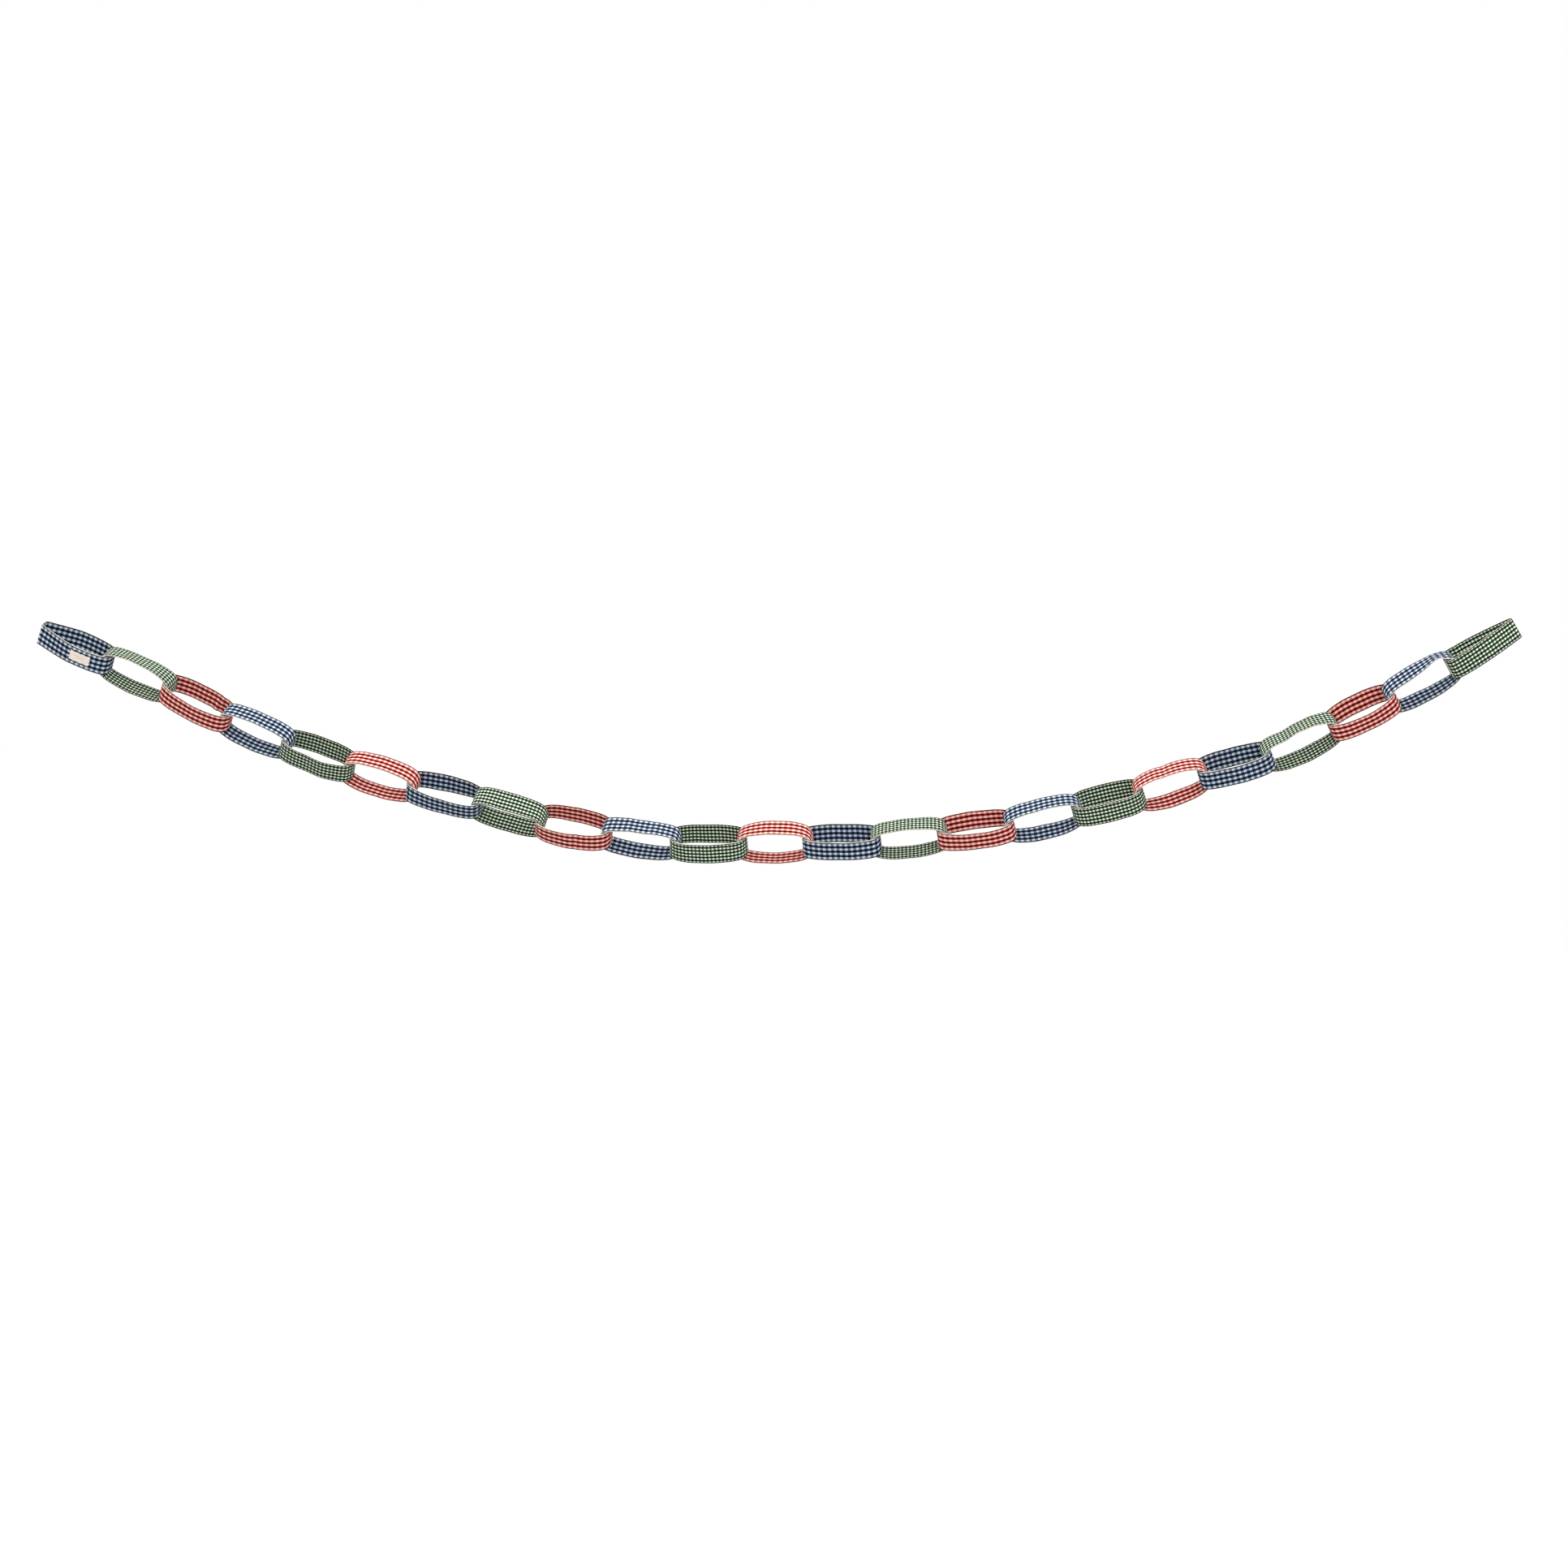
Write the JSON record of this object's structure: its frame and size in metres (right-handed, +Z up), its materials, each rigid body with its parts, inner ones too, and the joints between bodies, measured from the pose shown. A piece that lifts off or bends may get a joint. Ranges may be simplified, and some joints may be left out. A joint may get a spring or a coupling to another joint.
{
  "type": "paper chain garland",
  "caption": "Hanging chain garland of gingham strips, each bent into a closed loop through the last, sagging between two hangers.",
  "frame": {"origin": "the hanging point inside the left end of the first link", "axes": "+X from the left hanger to the right one, +Z up, and the front of the garland faces -Y"},
  "size_m": [2.761, 0.089, 0.4552],
  "materials": {
    "blue_gingham": "navy, mid blue and pale blue woven check, matt",
    "green_gingham": "dark green, sage and pale green woven check, matt",
    "red_gingham": "dark red, rose and pale pink woven check, matt",
    "label": "cream woven tape, matt"
  },
  "bodies": {
    "root": {"link_01_blue": "blue_gingham", "link_02_green": "green_gingham", "link_03_red": "red_gingham", "link_04_blue": "blue_gingham", "link_05_green": "green_gingham", "link_06_red": "red_gingham", "link_07_blue": "blue_gingham", "link_08_green": "green_gingham", "link_09_red": "red_gingham", "link_10_blue": "blue_gingham", "link_11_green": "green_gingham", "link_12_red": "red_gingham", "link_13_blue": "blue_gingham", "link_14_green": "green_gingham", "link_15_red": "red_gingham", "link_16_blue": "blue_gingham", "link_17_green": "green_gingham", "link_18_red": "red_gingham", "link_19_blue": "blue_gingham", "link_20_green": "green_gingham", "link_21_red": "red_gingham", "link_22_blue": "blue_gingham", "link_23_green": "green_gingham", "sewn_label": "label"}
  },
  "joints": []
}
